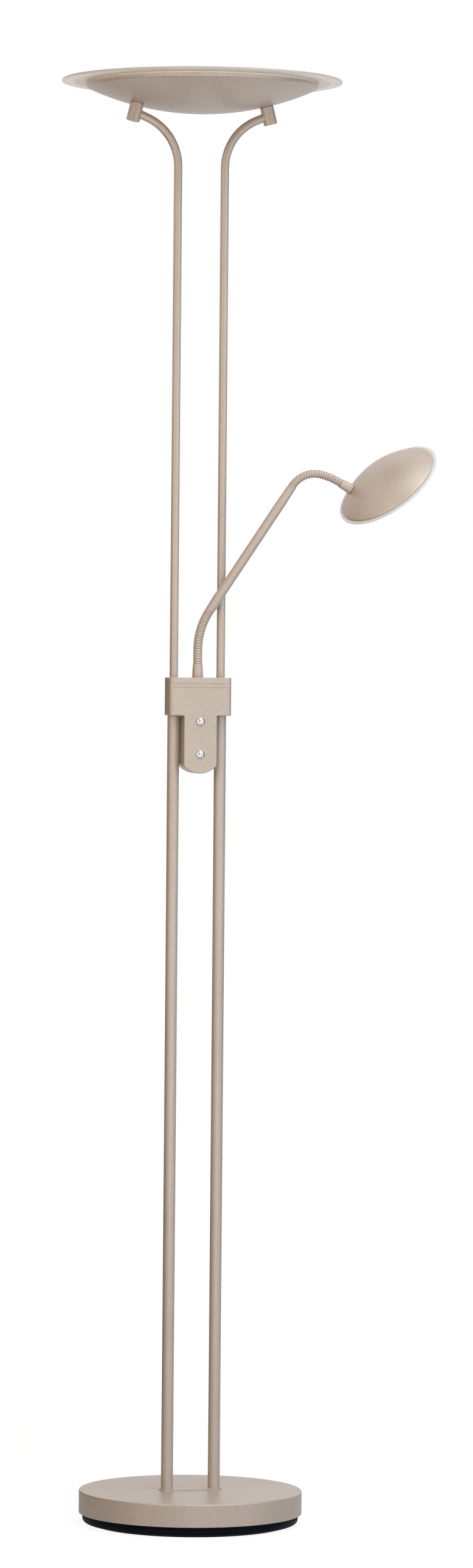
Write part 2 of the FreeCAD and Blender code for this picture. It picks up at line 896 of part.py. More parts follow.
def hose_half(path, crest_radius, spigot_radius, lower):
    """Ribbed half of a gooseneck with the plain end that sits in its ferrule."""
    pitch = path.length / (2 * ribs_per_half)
    first = 0 if lower else ribs_per_half
    last = first + ribs_per_half
    rings = []
    for rib in range(first, last):
        for station, height in zip(rib_stations_share, rib_heights_share):
            if station == 0 and rib > first:
                continue
            radius = crest_radius - rib_depth * (1 - height)
            rings.append(path.ring((rib + station) * pitch, radius))
    outer = Part.makeLoft(rings, True, True)
    through = spigot_length + overrun
    bore_rings = [path.ring(rib * pitch, hose_bore_radius) for rib in range(first, last + 1)]
    bore_rings.insert(0, path.ring(first * pitch, hose_bore_radius, -through if lower else -overrun))
    bore_rings.append(path.ring(last * pitch, hose_bore_radius, overrun if lower else through))
    point, heading = (path.at(0)[0], -path.at(0)[1]) if lower else (path.end, path.heading)
    spigot = cylinder(spigot_radius, spigot_length, point, heading)
    return outer.fuse(spigot).cut(Part.makeLoft(bore_rings, True, True))


def make_arm_sleeve():
    body = turned([(lower_spigot_radius + fit, 0),
                   (sleeve_neck_radius, 0),
                   (sleeve_mouth_radius, sleeve_length),
                   (sleeve_spigot_radius, sleeve_length),
                   (sleeve_spigot_radius, sleeve_length + sleeve_spigot_length),
                   (wire_bore_radius, sleeve_length + sleeve_spigot_length),
                   (wire_bore_radius, spigot_length + fit),
                   (lower_spigot_radius + fit, spigot_length + fit)])
    return placed(body, lower_path.end, rod_axis)


def make_arm_rod():
    socket = sleeve_spigot_radius + fit
    tip_socket = upper_spigot_radius + fit
    body = turned([(socket, 0),
                   (rod_radius, 0),
                   (rod_radius, rod_length - rod_taper_length),
                   (rod_tip_radius, rod_length),
                   (tip_socket, rod_length),
                   (tip_socket, rod_length - spigot_length - fit),
                   (socket, rod_length - spigot_length - rod_taper_length)])
    return placed(body, sleeve_end, rod_axis)


def make_head_ferrule():
    sag = shade_sphere_radius - math.sqrt(shade_sphere_radius ** 2 - head_ferrule_foot_radius ** 2)
    foot = head_ferrule_length - seat_gap
    through = head_ferrule_length + shade_wall + head_nut_thickness + head_stud_tail + sag
    body = turned([(upper_spigot_radius + fit, 0),
                   (head_ferrule_neck_radius, 0),
                   (head_ferrule_foot_radius, foot),
                   (head_stud_radius, foot),
                   (head_stud_radius, through),
                   (wire_bore_radius, through),
                   (wire_bore_radius, spigot_length + fit),
                   (upper_spigot_radius + fit, spigot_length + fit)])
    return placed(body, upper_path.end, head_axis)


def make_head_nut():
    corner = head_nut_across_flats / math.sqrt(3)
    inner_radius = shade_sphere_radius - shade_wall
    sag = inner_radius - math.sqrt(inner_radius ** 2 - corner ** 2)
    start = shade_entry_point + head_axis * (shade_wall + sag + seat_gap)
    return hex_nut(head_nut_across_flats, head_nut_thickness, head_stud_radius + fit, start, head_axis)


# Shades and their glasses, drawn with the crown at the origin and the mouth upwards

def cap_height(sphere_radius, rim_radius):
    return sphere_radius - math.sqrt(sphere_radius ** 2 - rim_radius ** 2)


def cap_arc(sphere_radius, rim_radius, crown):
    half_turn = math.asin(rim_radius / sphere_radius) / 2
    centre = V(0, 0, crown + sphere_radius)
    mid = centre + V(math.sin(half_turn), 0, -math.cos(half_turn)) * sphere_radius
    rim = V(rim_radius, 0, crown + cap_height(sphere_radius, rim_radius))
    return Part.Arc(V(0, 0, crown), mid, rim).toShape(), rim


def shade_shell(sphere_radius, rim_radius, wall, lip):
    outer, rim = cap_arc(sphere_radius, rim_radius, 0)
    inner, inner_rim = cap_arc(sphere_radius - wall, rim_radius - wall, wall)
    mouth = rim.z + lip
    edges = [outer,
             line(rim, V(rim_radius, 0, mouth)),
             line(V(rim_radius, 0, mouth), V(rim_radius - wall, 0, mouth)),
             line(V(rim_radius - wall, 0, mouth), inner_rim),
             inner,
             line(V(0, 0, wall), V())]
    return turned_edges(edges)


def carrier_ring(sphere_radius, rim_radius, wall, lip, width, gap):
    """Pale ring inside the lip that carries the glass clear of the metal."""
    outside = rim_radius - wall - fit
    low = wall + cap_height(sphere_radius - wall, rim_radius - wall) + seat_gap
    high = cap_height(sphere_radius, rim_radius) + lip + gap
    return bored(outside, outside - width, high - low, V(0, 0, low), up)


def disc_on_dome(sphere_radius, wall, radius, thickness):
    """Plate whose lower edge rests on the inside of the dome; returns it with its top height."""
    inner = sphere_radius - wall
    low = wall + inner - math.sqrt(inner ** 2 - radius ** 2) + seat_gap
    return cylinder(radius, thickness, V(0, 0, low)), low + thickness


def led_board(radius, height):
    """Round board with its light-emitting diodes in rings."""
    board = cylinder(radius, board_sheet, V(0, 0, height))
    top = height + board_sheet
    for ring in range(1, led_rings + 1):
        reach = radius * ring / (led_rings + 1)
        count = 6 * ring
        for place in range(count):
            turn = 2 * math.pi * place / count
            x = reach * math.cos(turn)
            y = reach * math.sin(turn)
            half = led_side / 2
            board = board.fuse(box(V(x - half, y - half, top), V(x + half, y + half, top + led_height)))
    return board


def make_reading_parts():
    shell = shade_shell(shade_sphere_radius, shade_rim_radius, shade_wall, shade_lip)
    ring = carrier_ring(shade_sphere_radius, shade_rim_radius, shade_wall, shade_lip,
                        shade_ring_width, reading_glass_gap)
    plate, plate_top = disc_on_dome(shade_sphere_radius, shade_wall, reading_plate_radius,
                                    reading_plate_thickness)
    board = led_board(reading_board_radius, plate_top)
    mouth = cap_height(shade_sphere_radius, shade_rim_radius) + shade_lip + reading_glass_gap
    glass = eased_disc(reading_glass_radius, reading_glass_thickness, reading_glass_easing, mouth)
    stud_hole = bored_hole(head_stud_radius + hole_clearance, shade_wall, shade_entry_point, head_axis)
    return {"reading_shade": placed(shell, shade_pole, shade_axis).cut(stud_hole),
            "reading_carrier_ring": placed(ring, shade_pole, shade_axis),
            "reading_heat_plate": placed(plate, shade_pole, shade_axis),
            "reading_led_board": placed(board, shade_pole, shade_axis),
            "reading_glass": placed(glass, shade_pole, shade_axis)}


# Uplight

dish_crown = dish_centre - dish_sphere_radius


def make_uplight_parts():
    shell = shade_shell(dish_sphere_radius, dish_rim_radius, dish_wall, dish_lip)
    ring = carrier_ring(dish_sphere_radius, dish_rim_radius, dish_wall, dish_lip,
                        dish_ring_width, uplight_glass_gap)
    plate, plate_top = disc_on_dome(dish_sphere_radius, dish_wall, uplight_plate_radius,
                                    uplight_plate_thickness)
    board = led_board(uplight_board_radius, plate_top)
    driver_top = plate_top - uplight_plate_thickness
    driver = box(V(-driver_length / 2, -driver_width / 2, driver_top - driver_height),
                 V(driver_length / 2, driver_width / 2, driver_top))
    glass = eased_disc(uplight_glass_radius, uplight_glass_thickness, uplight_glass_easing,
                       glass_under - dish_crown)
    start = V(0, 0, dish_crown)
    stud_hole = bored_hole(support_stud_radius + hole_clearance, dish_wall, support_top, support_axis)
    return {"uplight_dish": placed(shell, start, up).cut(both_sides(stud_hole)),
            "uplight_carrier_ring": placed(ring, start, up),
            "uplight_heat_plate": placed(plate, start, up),
            "uplight_led_board": placed(board, start, up),
            "uplight_driver": placed(driver, start, up),
            "uplight_glass": placed(glass, start, up)}


def make_support():
    """Turned block that joins one upper post to the dish, drawn for the right-hand post."""
    block = placed(eased_disc(support_radius, support_length, support_easing, -support_length),
                   support_top, support_axis)
    sag = dish_sphere_radius - math.sqrt(dish_sphere_radius ** 2 - support_radius ** 2)
    stud_length = support_stud_tail + support_nut_thickness + dish_wall + seat_gap + sag + seat_gap
    block = block.fuse(cylinder(support_stud_radius, stud_length, support_top, support_axis))
    path = upper_post_path()
    reach = support_radius + upper_post_radius
    socket_start = path.end + path.heading * fit - path.heading * reach
    block = block.cut(cylinder(upper_post_radius + fit, reach, socket_start, path.heading))
    wire = cylinder(wire_bore_radius, support_length / 2 + stud_length + overrun, support_middle, support_axis)
    screw = support_screw_solid(fit)
    return block.cut(wire).cut(screw)


def support_screw_solid(extra):
    """Clamp screw in the underside of the block, which bears on the end of the post."""
    start = support_top - support_axis * support_length
    lean = upper_post_path().heading.getAngle(support_axis)
    post_reach = upper_post_radius / math.sin(lean) + (support_screw_radius + fit) / math.tan(lean)
    tip = support_length / 2 - post_reach - seat_gap
    head = cylinder(support_screw_head_radius + extra, support_screw_head_height + extra,
                    start, support_axis)
    return head.fuse(cylinder(support_screw_radius + extra, tip, start, support_axis))


def make_support_nuts():
    corner = support_nut_across_flats / math.sqrt(3)
    inner_radius = dish_sphere_radius - dish_wall
    sag = inner_radius - math.sqrt(inner_radius ** 2 - corner ** 2)
    start = support_top + support_axis * (dish_wall + seat_gap + sag + seat_gap)
    nut = hex_nut(support_nut_across_flats, support_nut_thickness, support_stud_radius + fit,
                  start, support_axis)
    return both_sides(nut)


def main():
    os.makedirs("parts", exist_ok=True)
    save("base_pad", make_base_pad())
    save("base_tray", make_base_tray())
    save("base_cover", make_base_cover())
    save("base_weight", make_base_weight())
    save("tray_screws", make_tray_screws())
    save("cable_grommet", make_cable_grommet())
    save("foot_plate", make_foot_plate())
    save("post_studs", make_post_studs())
    save("base_washers", make_base_washers())
    save("base_nuts", make_base_nuts())
    lower_post = make_lower_post()
    upper_post = make_upper_post()
    save("right_lower_post", lower_post)
    save("left_lower_post", lower_post.mirror(V(), right))
    save("right_upper_post", upper_post)
    save("left_upper_post", upper_post.mirror(V(), right))
    save("post_reducers", make_post_reducers())
    save("post_grub_screws", make_post_grub_screws())
    save("housing_front", make_housing_front())
    save("housing_back", make_housing_back())
    save("housing_screws", make_housing_screws())
    save("bridge_plate", make_bridge_plate())
    save("upper_button", make_button(button_heights[0]))
    save("lower_button", make_button(button_heights[1]))
    save("button_bezels", make_button_bezels())
    save("dimmer_board", make_dimmer_board())
    save("board_screws", make_board_screws())
    save("push_switches", make_push_switches())
    save("dimmer_module", make_dimmer_module())
    save("arm_base_ferrule", make_arm_base_ferrule())
    save("ferrule_nut", make_ferrule_nut())
    save("lower_hose_root", hose_half(lower_path, lower_hose_radius, lower_spigot_radius, True))
    save("lower_hose_tip", hose_half(lower_path, lower_hose_radius, lower_spigot_radius, False))
    save("arm_sleeve", make_arm_sleeve())
    save("arm_rod", make_arm_rod())
    save("upper_hose_root", hose_half(upper_path, upper_hose_radius, upper_spigot_radius, True))
    save("upper_hose_tip", hose_half(upper_path, upper_hose_radius, upper_spigot_radius, False))
    save("head_ferrule", make_head_ferrule())
    save("head_nut", make_head_nut())
    for node, shape in make_reading_parts().items():
        save(node, shape)
    support = make_support()
    save("right_support", support)
    save("left_support", support.mirror(V(), right))
    save("support_screws", both_sides(support_screw_solid(0)))
    save("support_nuts", make_support_nuts())
    for node, shape in make_uplight_parts().items():
        save(node, shape)


main()
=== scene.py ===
import bpy
import json
import math
from mathutils import Matrix, Quaternion, Vector


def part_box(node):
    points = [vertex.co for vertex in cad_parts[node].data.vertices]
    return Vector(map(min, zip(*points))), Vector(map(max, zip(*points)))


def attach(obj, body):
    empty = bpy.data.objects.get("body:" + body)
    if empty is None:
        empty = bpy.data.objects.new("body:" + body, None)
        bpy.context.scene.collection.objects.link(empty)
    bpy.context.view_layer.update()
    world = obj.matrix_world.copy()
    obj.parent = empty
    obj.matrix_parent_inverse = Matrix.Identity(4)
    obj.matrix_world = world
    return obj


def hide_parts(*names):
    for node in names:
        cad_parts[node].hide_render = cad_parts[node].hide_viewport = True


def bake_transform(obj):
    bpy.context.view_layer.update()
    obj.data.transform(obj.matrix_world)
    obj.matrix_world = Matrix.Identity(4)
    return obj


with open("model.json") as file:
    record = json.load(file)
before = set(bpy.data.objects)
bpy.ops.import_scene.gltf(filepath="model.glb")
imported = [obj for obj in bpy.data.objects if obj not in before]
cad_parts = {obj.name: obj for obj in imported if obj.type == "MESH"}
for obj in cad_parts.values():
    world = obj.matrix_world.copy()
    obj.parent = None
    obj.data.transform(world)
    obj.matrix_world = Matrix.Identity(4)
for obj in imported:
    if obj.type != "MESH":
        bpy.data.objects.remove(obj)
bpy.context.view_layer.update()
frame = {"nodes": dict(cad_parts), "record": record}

# Floor lamp on two posts. Metres, +Z up, -Y is the front with the two push buttons.
# The posts, the base and the housing are the solid model's own; this script gives them their
# finish and adds the reading arm, shades, glasses and buttons as finer pieces.

mm = 0.001
up = Vector((0, 0, 1))
white = (1, 1, 1, 1)


# Materials: one small class wraps a socket, so that sums of nodes read as plain expressions

class Flow:
    # one value, colour or surface on its way through the nodes
    def __init__(self, nodes, socket):
        self.nodes = nodes
        self.socket = socket

    def combine(self, operation, first, second):
        return self.nodes.add("ShaderNodeMath", {"operation": operation}, {0: first, 1: second})

    def __add__(self, other):
        return self.combine("ADD", self, other)

    def __radd__(self, other):
        return self.combine("ADD", other, self)

    def __sub__(self, other):
        return self.combine("SUBTRACT", self, other)

    def __rsub__(self, other):
        return self.combine("SUBTRACT", other, self)

    def __mul__(self, other):
        return self.combine("MULTIPLY", self, other)

    def __rmul__(self, other):
        return self.combine("MULTIPLY", other, self)

    def most(self, other):
        return self.combine("MAXIMUM", self, other)

    def swing(self, amount):
        # a pattern from 0 to 1 becomes half the amount below and above nothing
        return (self - 0.5) * amount

    def over(self, edge, softness):
        # 0 below the edge and 1 above it, with a soft step
        return self.nodes.add("ShaderNodeMapRange", {"clamp": True},
                              {"Value": self, "From Min": edge - softness, "From Max": edge + softness})


class Nodes:
    # the nodes of a material or of the world
    def __init__(self, tree):
        self.tree = tree

    def add(self, kind, settings, inputs, output=0):
        node = self.tree.nodes.new(kind)
        for key, value in settings.items():
            setattr(node, key, value)
        for key, value in inputs.items():
            self.join(node.inputs[key], value)
        return Flow(self, node.outputs[output])

    def join(self, socket, value):
        if isinstance(value, Flow):
            self.tree.links.new(value.socket, socket)
        else:
            socket.default_value = value

    def ray(self, kind):
        return self.add("ShaderNodeLightPath", {}, {}, kind)

    def backgroundRays(self):
        # camera and glass rays, and mirror rays: all of them see the background white
        return self.ray("Is Camera Ray").most(self.ray("Is Transmission Ray")), self.ray("Is Glossy Ray")


class Shader(Nodes):
    def __init__(self, name, sockets):
        self.material = bpy.data.materials.new(name)
        self.material.use_nodes = True
        super().__init__(self.material.node_tree)
        self.surface = self.tree.nodes["Principled BSDF"]
        for socket, value in sockets.items():
            self.set(socket, value)

    def set(self, socket, value):
        self.join(self.surface.inputs[socket], value)

    def place(self):
        return self.add("ShaderNodeTexCoord", {}, {}, "Object")

    def noise(self, size, detail, roughness=0.5, stretch=None):
        # cloudy pattern whose blotches are about size metres across, from 0 to 1
        spot = self.place()
        if stretch:
            spot = self.add("ShaderNodeVectorMath", {"operation": "MULTIPLY"}, {0: spot, 1: stretch})
        return self.add("ShaderNodeTexNoise", {},
                        {"Vector": spot, "Scale": 1 / size, "Detail": detail, "Roughness": roughness})

    def blend(self, first, second, share):
        return self.add("ShaderNodeMix", {"data_type": "RGBA"},
                        {"Factor": share, 6: (*first, 1.0) if isinstance(first, tuple) else first,
                         7: (*second, 1.0) if isinstance(second, tuple) else second}, 2)

    def relief(self, height, depth, strength=1.0):
        normal = self.add("ShaderNodeBump", {}, {"Height": height, "Distance": depth, "Strength": strength})
        self.set("Normal", normal)


# a pattern's values are its size, detail, roughness and stretch
coatValues = {"light": (0.638, 0.535, 0.455), "deep": (0.512, 0.419, 0.347), "metallic": 0.25,
              "grain": (0.8 * mm, 3.0, 0.7), "fleck": (2.2 * mm, 1.0), "cloud": (90 * mm, 2.0),
              "grainShare": 0.5, "fleckShare": 0.3, "cloudShare": 0.2, "toneEdge": 0.5, "toneSoft": 0.14,
              "roughness": 0.41, "grainRough": 0.08, "cloudRough": 0.04,
              "depth": 0.012 * mm, "fleckRelief": 0.4}


def champagneCoat():
    v = coatValues
    shader = Shader("champagneCoat", {"Metallic": v["metallic"]})
    grain = shader.noise(*v["grain"])
    fleck = shader.noise(*v["fleck"])
    cloud = shader.noise(*v["cloud"])
    tone = grain * v["grainShare"] + fleck * v["fleckShare"] + cloud * v["cloudShare"]
    shader.set("Base Color", shader.blend(v["deep"], v["light"], tone.over(v["toneEdge"], v["toneSoft"])))
    shader.set("Roughness", v["roughness"] + grain.swing(v["grainRough"]) + cloud.swing(v["cloudRough"]))
    shader.relief(grain + fleck * v["fleckRelief"], v["depth"])
    return shader.material


# Finishes that follow one cloudy pattern: the colours at its two ends, the roughness and how much the
# pattern adds to it, and the relief's depth and strength; the relief may have its own finer pattern
cloudyFinishes = {
    "black_plastic": {"name": "blackPlastic", "sockets": {"Specular IOR Level": 0.07},
                      "pattern": (30 * mm, 3.0, 0.6, (1, 1, 4)),
                      "colours": ((0.0015, 0.0025, 0.006), (0.0035, 0.006, 0.013)),
                      "roughness": (0.42, 0.16), "depth": (0.02 * mm, 1.0), "fine": (0.5 * mm, 2.0)},
    "chrome": {"name": "polishedChrome", "sockets": {"Metallic": 1.0}, "pattern": (3 * mm, 2.0),
               "colours": ((0.52, 0.50, 0.55), (0.66, 0.66, 0.67)),
               "roughness": (0.03, 0.06), "depth": (0.12 * mm, 0.6), "fine": (1.1 * mm, 1.0)},
    "cast_iron": {"name": "castIron", "sockets": {"Metallic": 0.6}, "pattern": (1.5 * mm, 5.0, 0.65),
                  "colours": ((0.05, 0.05, 0.052), (0.14, 0.135, 0.13)),
                  "roughness": (0.62, 0.25), "depth": (0.3 * mm, 1.0)},
    "rubber": {"name": "mouldedRubber", "sockets": {}, "pattern": (4 * mm, 3.0),
               "colours": ((0.014, 0.014, 0.014), (0.034, 0.033, 0.032)),
               "roughness": (0.6, 0.2), "depth": (0.02 * mm, 1.0), "fine": (0.5 * mm, 2.0)},
    "led_board": {"name": "ledBoard", "sockets": {}, "pattern": (6 * mm, 3.0),
                  "colours": ((0.80, 0.80, 0.76), (0.88, 0.88, 0.86)), "roughness": (0.35, 0.15)},
    "white_plastic": {"name": "whitePlastic", "sockets": {}, "pattern": (12 * mm, 3.0),
                      "colours": ((0.80, 0.80, 0.77), (0.86, 0.86, 0.83)),
                      "roughness": (0.45, 0.12), "depth": (0.01 * mm, 1.0), "fine": (0.6 * mm, 2.0)},
    "aluminium": {"name": "millAluminium", "sockets": {"Metallic": 1.0},
                  "pattern": (2 * mm, 3.0, 0.5, (0.05, 1, 1)),
                  "colours": ((0.62, 0.62, 0.63), (0.76, 0.76, 0.77)),
                  "roughness": (0.28, 0.16), "depth": (0.01 * mm, 1.0)},
    "opal_acrylic": {"name": "opalAcrylic", "sockets": {}, "pattern": (35 * mm, 0.0),
                     "colours": ((0.87, 0.85, 0.83), (0.89, 0.87, 0.855)), "roughness": (0.26, 0.08)}}

# the narrow edge of the uplight's glass, which isn't a slot of its own: the glass's greenish edge tint made
# darker, as painted shade for the dark line along the edge
glassEdgeValues = {"name": "paintedShadeGlassEdge", "sockets": {"Transmission Weight": 0.3, "IOR": 1.5},
                   "pattern": (9 * mm, 2.0), "colours": ((0.57, 0.55, 0.50), (0.63, 0.61, 0.55)),
                   "roughness": (0.28, 0.08)}


def cloudyFinish(v):
    shader = Shader(v["name"], v["sockets"])
    pattern = shader.noise(*v["pattern"])
    start, swing = v["roughness"]
    shader.set("Base Color", shader.blend(*v["colours"], pattern))
    shader.set("Roughness", start + pattern * swing)
    if "depth" in v:
        shader.relief(shader.noise(*v["fine"]) if "fine" in v else pattern, *v["depth"])
    return shader.material


zincValues = {"dull": (0.46, 0.47, 0.47), "bright": (0.62, 0.62, 0.60), "haze": (8 * mm, 3.0),
              "spangle": 2.5 * mm, "roughness": 0.26, "spangleRough": 0.2, "depth": 0.02 * mm}


def zincSteel():
    v = zincValues
    shader = Shader("zincSteel", {"Metallic": 1.0})
    spangle = shader.add("ShaderNodeTexVoronoi", {}, {"Vector": shader.place(), "Scale": 1 / v["spangle"]})
    haze = shader.noise(*v["haze"])
    shader.set("Base Color", shader.blend(v["dull"], v["bright"], haze))
    shader.set("Roughness", v["roughness"] + spangle * v["spangleRough"])
    shader.relief(haze, v["depth"])
    return shader.material


feltValues = {"dark": (0.018, 0.018, 0.02), "pale": (0.05, 0.05, 0.053),
              "hair": (1.2 * mm, 4.0, 0.7, (1, 1, 3)), "roughness": 0.95, "sheen": 0.3, "depth": 0.3 * mm}


def denseFelt():
    v = feltValues
    shader = Shader("denseFelt", {"Roughness": v["roughness"], "Sheen Weight": v["sheen"]})
    hair = shader.noise(*v["hair"])
    shader.set("Base Color", shader.blend(v["dark"], v["pale"], hair))
    shader.relief(hair, v["depth"])
    return shader.material


boardValues = {"deep": (0.012, 0.11, 0.04), "mask": (0.02, 0.16, 0.06), "tracks": (0.05, 0.26, 0.10),
               "haze": (5 * mm, 2.0), "pitch": 6 * mm, "trackWidth": 0.06,
               "roughness": 0.3, "hazeRough": 0.15, "depth": 0.03 * mm}


def circuitBoard():
    v = boardValues
    shader = Shader("circuitBoard", {})
    tracks = shader.add("ShaderNodeTexBrick", {}, {"Vector": shader.place(), "Scale": 1 / v["pitch"],
                                                   "Mortar Size": v["trackWidth"]}, "Fac")
    haze = shader.noise(*v["haze"])
    shader.set("Base Color", shader.blend(shader.blend(v["deep"], v["mask"], haze), v["tracks"], tracks))
    shader.set("Roughness", v["roughness"] + haze * v["hazeRough"])
    shader.relief(tracks, v["depth"])
    return shader.material


# middle is painted light: the glass drawn whiter where the dish lies behind it
glassValues = {"frost": (0.96, 0.86, 0.77), "rim": (0.99, 0.90, 0.79), "middle": (0.98, 0.94, 0.89),
               "frostRadius": 160 * mm, "frostSoft": 0.6 * mm, "middleRadius": 140 * mm, "middleSoft": 4 * mm,
               "haze": (25 * mm, 3.0), "hazeShade": 0.97, "roughness": 0.42, "rimSmooth": 0.12,
               "hazeRough": 0.05, "transmission": 0.62, "index": 1.5, "etching": (0.4 * mm, 2.0),
               "depth": 0.004 * mm}


def frostedGlass():
    # etched on one side inside a clear margin, so the middle reads a shade darker
    v = glassValues
    shader = Shader("frostedGlass", {"Transmission Weight": v["transmission"], "IOR": v["index"]})
    flat = shader.add("ShaderNodeVectorMath", {"operation": "MULTIPLY"}, {0: shader.place(), 1: (1, 1, 0)})
    reach = shader.add("ShaderNodeVectorMath", {"operation": "LENGTH"}, {0: flat}, "Value")
    margin = reach.over(v["frostRadius"], v["frostSoft"])
    outsideDish = reach.over(v["middleRadius"], v["middleSoft"])
    haze = shader.noise(*v["haze"])
    etched = shader.blend(v["frost"], tuple(tone * v["hazeShade"] for tone in v["frost"]), haze)
    # painted light: the middle of the glass is drawn whiter where the dish lies behind it
    inner = shader.blend(v["middle"], etched, outsideDish)  # whiter where the dish backs it
    shader.set("Base Color", shader.blend(inner, v["rim"], margin))
    shader.set("Roughness", v["roughness"] - margin * v["rimSmooth"] + haze.swing(v["hazeRough"]))
    shader.relief(shader.noise(*v["etching"]), v["depth"])
    return shader.material


finishes = {slot: cloudyFinish(v) for slot, v in cloudyFinishes.items()}
finishes.update({"champagne_coat": champagneCoat(), "zinc_steel": zincSteel(), "felt": denseFelt(),
                 "circuit_board": circuitBoard(), "frosted_glass": frostedGlass()})
glassEdge = cloudyFinish(glassEdgeValues)

for part in frame["record"]["subparts"]:
    for place in frame["nodes"][part["node"]].material_slots:
        place.material = finishes[part["material_slot"]]
print("finishes made:", len(finishes) + 1)


# Shapes: how finely their rounds are divided, and from how many degrees an edge shows as a crease

shapeValues = {"roundingSteps": 6, "capSteps": 40, "kneeSteps": 8, "turnedAround": 128, "sweptAround": 96,
               "discAround": 256, "turnedCrease": 34, "sweptCrease": 60, "glassCrease": 180,
               "poleRadius": 0.001 * mm}


def roundedOutline(corners):
    # corners are (x, y) or (x, y, rounding); a rounded corner becomes an arc of short steps
    steps = shapeValues["roundingSteps"]
    points = []
    for index, corner in enumerate(corners):
        here = Vector(corner[:2])
        rounding = corner[2] if len(corner) > 2 else 0
        if not rounding:
            points.append(here)
            continue
        toLast = (Vector(corners[index - 1][:2]) - here).normalized()
        toNext = (Vector(corners[(index + 1) % len(corners)][:2]) - here).normalized()
        opening = toLast.angle(toNext)
        reach = rounding / math.tan(opening / 2)
        centre = here + (toLast + toNext).normalized() * (rounding / math.sin(opening / 2))
        begin = here + toLast * reach - centre
        finish = here + toNext * reach - centre
        sweep = begin.angle_signed(finish)
        for step in range(steps + 1):
            turn = -sweep * step / steps
            points.append(centre + Matrix.Rotation(turn, 2) @ begin)
    return points


def newPiece(name, points, faces, slot, creaseDegrees):
    mesh = bpy.data.meshes.new(name)
    mesh.from_pydata([tuple(point) for point in points], [], faces)
    mesh.validate()
    mesh.shade_smooth()
    mesh.set_sharp_from_angle(angle=math.radians(creaseDegrees))
    mesh.materials.append(finishes[slot])
    piece = bpy.data.objects.new(name, mesh)
    bpy.context.scene.collection.objects.link(piece)
    return piece


def ringFaces(rings, closed):
    # quads between neighbouring rings of vertex numbers; a ring of one vertex is a pole
    faces = []
    pairs = list(zip(rings, rings[1:])) + ([(rings[-1], rings[0])] if closed else [])
    for lower, upper in pairs:
        count = max(len(lower), len(upper))
        for k in range(count):
            n = (k + 1) % count
            if len(lower) == 1:
                faces.append((lower[0], upper[n], upper[k]))
            elif len(upper) == 1:
                faces.append((lower[k], lower[n], upper[0]))
            else:
                faces.append((lower[k], lower[n], upper[n], upper[k]))
    return faces


def turnedPiece(name, corners, slot, origin, axis, around=shapeValues["turnedAround"], closed=False,
                crease=shapeValues["turnedCrease"]):
    # outline of (radius, height) turned about an axis; outlines run so that faces look outwards
    turn = up.rotation_difference(axis)
    points, rings = [], []
    for radius, height in roundedOutline(corners):
        count = 1 if radius < shapeValues["poleRadius"] else around
        rings.append(list(range(len(points), len(points) + count)))
        for k in range(count):
            angle = 2 * math.pi * k / around
            spot = Vector((radius * math.cos(angle), radius * math.sin(angle), height))
            points.append(origin + turn @ spot)
    return newPiece(name, points, ringFaces(rings, closed), slot, crease)


def standFor(piece, node, body):
    # the piece takes the place of a solid and moves with its body
    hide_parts(node)
    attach(piece, body)


class Route:
    # straights and bends in one plane; side is the axis that the bends turn about
    def __init__(self, start, heading, side):
        self.end = start
        self.heading = heading
        self.side = side
        self.legs = []
        self.length = 0

    def straight(self, length):
        self.legs.append((self.length, length, self.end, self.heading, None))
        self.end = self.end + self.heading * length
        self.length += length

    def bend(self, radius, degrees):
        centre = self.end + self.side.cross(self.heading) * radius
        length = radius * math.radians(degrees)
        self.legs.append((self.length, length, self.end, self.heading, centre))
        turn = Quaternion(self.side, math.radians(degrees))
        self.end = centre + turn @ (self.end - centre)
        self.heading = turn @ self.heading
        self.length += length

    def at(self, distance):
        if distance > self.length:
            return self.end + self.heading * (distance - self.length), self.heading
        begin, _, start, heading, centre = next(leg for leg in self.legs if distance <= leg[0] + leg[1])
        travel = distance - begin
        if centre is None or distance < 0:
            return start + heading * travel, heading
        arm = start - centre
        turn = Quaternion(self.side, travel / arm.length)
        return centre + turn @ arm, turn @ heading


def sweptPiece(name, route, stations, slot):
    # stations are (distance, radius) along the route, and the first joins the last inside
    around = shapeValues["sweptAround"]
    points, rings = [], []
    for distance, radius in stations:
        centre, heading = route.at(distance)
        across = route.side
        over = heading.cross(across)
        rings.append(list(range(len(points), len(points) + around)))
        for k in range(around):
            angle = 2 * math.pi * k / around
            points.append(centre + (across * math.cos(angle) + over * math.sin(angle)) * radius)
    return newPiece(name, points, ringFaces(rings, True), slot, shapeValues["sweptCrease"])


# Reading arm: its line from the housing's top to the shade

armValues = {"forward": 2 * mm, "turnDegrees": 28, "ferrule": 17 * mm, "lowerStraight": 18 * mm,
             "lowerBend": (87 * mm, 34), "sleeve": 25 * mm, "rod": 163 * mm,
             "neckTurnDegrees": 26.1, "upperBend": (31.6 * mm, 71.1), "upperSecondBend": (81 * mm, 17.6),
             "upperStraight": 3.7 * mm, "headFerrule": 16 * mm, "headTurnDegrees": 26.1}

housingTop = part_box("housing_front")[1].z
armTurn = math.radians(armValues["turnDegrees"])
armSide = Vector((math.sin(armTurn), math.cos(armTurn), 0))
armRoot = Vector((0, -armValues["forward"], housingTop))
lowerRoute = Route(armRoot + up * armValues["ferrule"], up, armSide)
lowerRoute.straight(armValues["lowerStraight"])
lowerRoute.bend(*armValues["lowerBend"])
rodAxis = lowerRoute.heading
sleeveEnd = lowerRoute.end + rodAxis * armValues["sleeve"]
rodEnd = sleeveEnd + rodAxis * armValues["rod"]
upperSide = Quaternion(rodAxis, math.radians(armValues["neckTurnDegrees"])) @ armSide
upperRoute = Route(rodEnd, rodAxis, upperSide)
upperRoute.bend(*armValues["upperBend"])
upperRoute.bend(*armValues["upperSecondBend"])
upperRoute.straight(armValues["upperStraight"])
headAxis = upperRoute.heading
shadeEntry = upperRoute.end + headAxis * armValues["headFerrule"]

